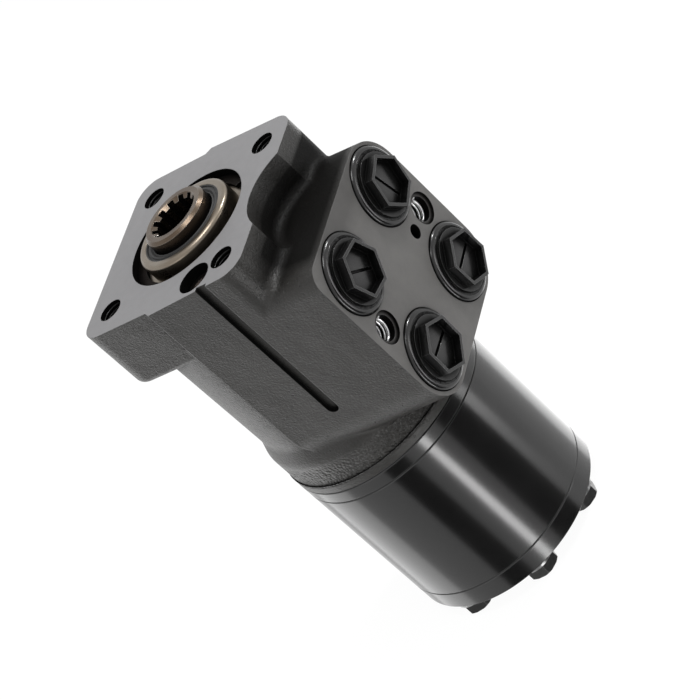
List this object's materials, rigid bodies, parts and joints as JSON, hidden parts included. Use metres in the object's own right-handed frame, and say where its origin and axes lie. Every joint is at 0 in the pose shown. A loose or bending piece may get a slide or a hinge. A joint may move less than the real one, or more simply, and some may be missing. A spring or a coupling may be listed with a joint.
{
  "type": "hydraulic steering valve",
  "caption": "Rotary hydraulic steering valve: cast housing with a column flange and a four-port face, spool and sleeve inside, and an orbiting metering rotor under an end cap.",
  "frame": {"origin": "centre of the column bolt circle, on the column flange's face, on the valve's axis", "axes": "+Z points out of the column flange towards the steering column, along the valve's axis; +X points out of the face with the four ports; +Y completes the right-handed frame"},
  "size_m": [0.1102, 0.0884, 0.1993],
  "materials": {
    "housing_paint": "semi-gloss black paint over sand-cast iron",
    "stack_paint": "gloss black paint over turned steel",
    "gland_steel": "turned steel with a warm oil tint",
    "dark_steel": "oil-blackened steel",
    "seal_rubber": "black nitrile rubber",
    "bearing_steel": "ground hardened steel",
    "spool_steel": "ground steel with a warm oil film",
    "spring_steel": "blue-grey spring steel",
    "link_steel": "forged and machined steel",
    "rotor_steel": "ground hardened steel",
    "screw_black": "black oxide",
    "washer_zinc": "bright zinc plate",
    "plug_plastic": "gloss black moulded plastic"
  },
  "bodies": {
    "valve_body": {"housing": "housing_paint", "gland_bushing": "gland_steel", "gland_retaining_ring": "dark_steel", "gland_seal": "seal_rubber", "dust_seal": "seal_rubber", "shaft_seal": "seal_rubber", "bearing_race_upper": "bearing_steel", "distributor_plate": "stack_paint", "gerotor_ring": "stack_paint", "end_cap": "stack_paint", "housing_face_seal": "seal_rubber", "plate_face_seal": "seal_rubber", "cap_face_seal": "seal_rubber", "cap_screws": "screw_black", "pin_screw": "screw_black", "screw_washers": "washer_zinc", "check_bushing": "dark_steel"},
    "sleeve_unit": {"sleeve": "spool_steel", "spring_ring": "spool_steel", "centring_springs": "spring_steel", "cross_pin": "bearing_steel", "bearing_race_lower": "bearing_steel"},
    "spool_unit": {"spool": "spool_steel"},
    "needle_cage_unit": {"needle_cage": "bearing_steel"},
    "orbit_unit": {"spacer_disc": "link_steel"},
    "rotor_unit": {"rotor": "rotor_steel"},
    "link_unit": {"drive_link": "link_steel"},
    "check_ball_unit": {"check_ball": "bearing_steel"},
    "plug_unit_1": {"port_plug_1": "plug_plastic"},
    "plug_unit_2": {"port_plug_2": "plug_plastic"},
    "plug_unit_3": {"port_plug_3": "plug_plastic"},
    "plug_unit_4": {"port_plug_4": "plug_plastic"}
  },
  "joints": [
    {"name": "sleeve_turn", "type": "hinge", "parent": "valve_body", "child": "sleeve_unit", "pos_m": [0, 0, -0.06], "axis": [0, 0, 1], "continuous": true},
    {"name": "spool_deflection", "type": "hinge", "parent": "sleeve_unit", "child": "spool_unit", "pos_m": [0, 0, -0.05], "axis": [0, 0, 1], "range_deg": [-8, 8], "stiffness_Nm_per_rad": 2},
    {"name": "needle_cage_turn", "type": "hinge", "parent": "valve_body", "child": "needle_cage_unit", "pos_m": [0, 0, -0.016], "axis": [0, 0, 1], "continuous": true},
    {"name": "rotor_orbit", "type": "hinge", "parent": "valve_body", "child": "orbit_unit", "pos_m": [0, 0, -0.165], "axis": [0, 0, 1], "continuous": true},
    {"name": "rotor_turn", "type": "hinge", "parent": "orbit_unit", "child": "rotor_unit", "pos_m": [0.003, 0, -0.145], "axis": [0, 0, 1], "continuous": true},
    {"name": "drive_link_turn", "type": "hinge", "parent": "orbit_unit", "child": "link_unit", "pos_m": [0, 0, -0.088], "axis": [-0.0526, 0, 0.9986], "continuous": true},
    {"name": "check_ball_lift", "type": "slide", "parent": "valve_body", "child": "check_ball_unit", "axis": [0, 0, 1], "range_m": [0, 0.0013]},
    {"name": "plug_1_withdraw", "type": "slide", "parent": "valve_body", "child": "plug_unit_1", "axis": [1, 0, 0], "range_m": [0, 0.026]},
    {"name": "plug_2_withdraw", "type": "slide", "parent": "valve_body", "child": "plug_unit_2", "axis": [1, 0, 0], "range_m": [0, 0.026]},
    {"name": "plug_3_withdraw", "type": "slide", "parent": "valve_body", "child": "plug_unit_3", "axis": [1, 0, 0], "range_m": [0, 0.026]},
    {"name": "plug_4_withdraw", "type": "slide", "parent": "valve_body", "child": "plug_unit_4", "axis": [1, 0, 0], "range_m": [0, 0.026]}
  ],
  "couplings": [
    {"joint": "needle_cage_turn", "follows": "sleeve_turn", "ratio": 0.5},
    {"joint": "rotor_orbit", "follows": "sleeve_turn", "ratio": -6},
    {"joint": "rotor_turn", "follows": "sleeve_turn", "ratio": 7},
    {"joint": "drive_link_turn", "follows": "sleeve_turn", "ratio": 7}
  ]
}
